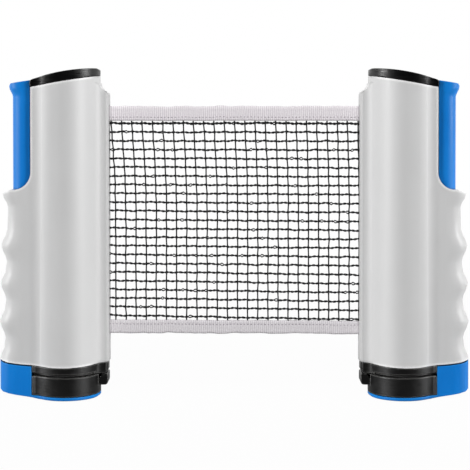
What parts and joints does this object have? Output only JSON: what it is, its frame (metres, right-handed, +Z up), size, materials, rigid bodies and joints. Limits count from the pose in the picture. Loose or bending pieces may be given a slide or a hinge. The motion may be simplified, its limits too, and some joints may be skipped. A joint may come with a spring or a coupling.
{
  "type": "retractable table tennis net set",
  "caption": "Two upright clamp posts with squeeze handles and sprung jaws, holding a mesh net that winds on a sprung reel inside each post.",
  "frame": {"origin": "on the ground, midway between the two posts and in the plane of the net", "axes": "+X along the net from the left post to the right one as the picture shows them, +Z up, the side pictured looks to -Y"},
  "size_m": [0.2994, 0.0426, 0.2082],
  "materials": {
    "grey_shell": "satin moulded ABS, light silver grey",
    "black_cap": "glossy black moulding",
    "blue_jaw": "satin moulded blue",
    "jaw_pad": "semi-gloss black rubber",
    "spring_steel": "plain drawn spring steel",
    "bright_steel": "zinc plated steel",
    "reel_plastic": "black moulded reel",
    "bush_plastic": "natural acetal",
    "net_cord": "black knotless nylon mesh",
    "white_band": "white woven tape, faint lilac tint"
  },
  "bodies": {
    "left_post": {"left_front_shell": "grey_shell", "left_rear_shell": "grey_shell", "left_top_cap": "black_cap", "left_upper_pad": "jaw_pad", "left_clamp_spring": "spring_steel", "left_reel_shaft": "bright_steel", "left_inner_lower_screw": "bright_steel", "left_inner_upper_screw": "bright_steel", "left_outer_lower_screw": "bright_steel", "left_outer_upper_screw": "bright_steel", "net_mesh": "net_cord", "top_band": "white_band", "bottom_band": "white_band"},
    "left_jaw": {"left_squeeze_jaw": "blue_jaw", "left_lower_pad": "jaw_pad"},
    "left_reel": {"left_reel_spool": "reel_plastic", "left_upper_bush": "bush_plastic", "left_lower_bush": "bush_plastic", "left_recoil_spring": "spring_steel", "left_net_roll": "net_cord"},
    "right_post": {"right_front_shell": "grey_shell", "right_rear_shell": "grey_shell", "right_top_cap": "black_cap", "right_upper_pad": "jaw_pad", "right_clamp_spring": "spring_steel", "right_reel_shaft": "bright_steel", "right_inner_lower_screw": "bright_steel", "right_inner_upper_screw": "bright_steel", "right_outer_lower_screw": "bright_steel", "right_outer_upper_screw": "bright_steel"},
    "right_jaw": {"right_squeeze_jaw": "blue_jaw", "right_lower_pad": "jaw_pad"},
    "right_reel": {"right_reel_spool": "reel_plastic", "right_upper_bush": "bush_plastic", "right_lower_bush": "bush_plastic", "right_recoil_spring": "spring_steel", "right_net_roll": "net_cord"}
  },
  "joints": [
    {"name": "post_slide", "type": "slide", "parent": "left_post", "child": "right_post", "axis": [1, 0, 0], "range_m": [-0.1586, 1.5908], "deforming": ["net_mesh", "top_band", "bottom_band"]},
    {"name": "left_jaw_slide", "type": "slide", "parent": "left_post", "child": "left_jaw", "axis": [0, 0, -1], "range_m": [0, 0.05], "stiffness_N_per_m": 450, "springref_m": -0.03, "deforming": ["left_clamp_spring"]},
    {"name": "right_jaw_slide", "type": "slide", "parent": "right_post", "child": "right_jaw", "axis": [0, 0, -1], "range_m": [0, 0.05], "stiffness_N_per_m": 450, "springref_m": -0.03, "deforming": ["right_clamp_spring"]},
    {"name": "left_reel_spin", "type": "hinge", "parent": "left_post", "child": "left_reel", "pos_m": [-0.1066, 0, 0.11], "axis": [0, 0, 1], "range_deg": [-420, 4110], "deforming": ["left_recoil_spring"]},
    {"name": "right_reel_spin", "type": "hinge", "parent": "right_post", "child": "right_reel", "pos_m": [0.1066, 0, 0.11], "axis": [0, 0, -1], "range_deg": [-420, 4110], "deforming": ["right_recoil_spring"]}
  ],
  "couplings": [
    {"joint": "left_reel_spin", "follows": "post_slide", "rad_per_m": 45},
    {"joint": "right_reel_spin", "follows": "post_slide", "rad_per_m": 45}
  ]
}
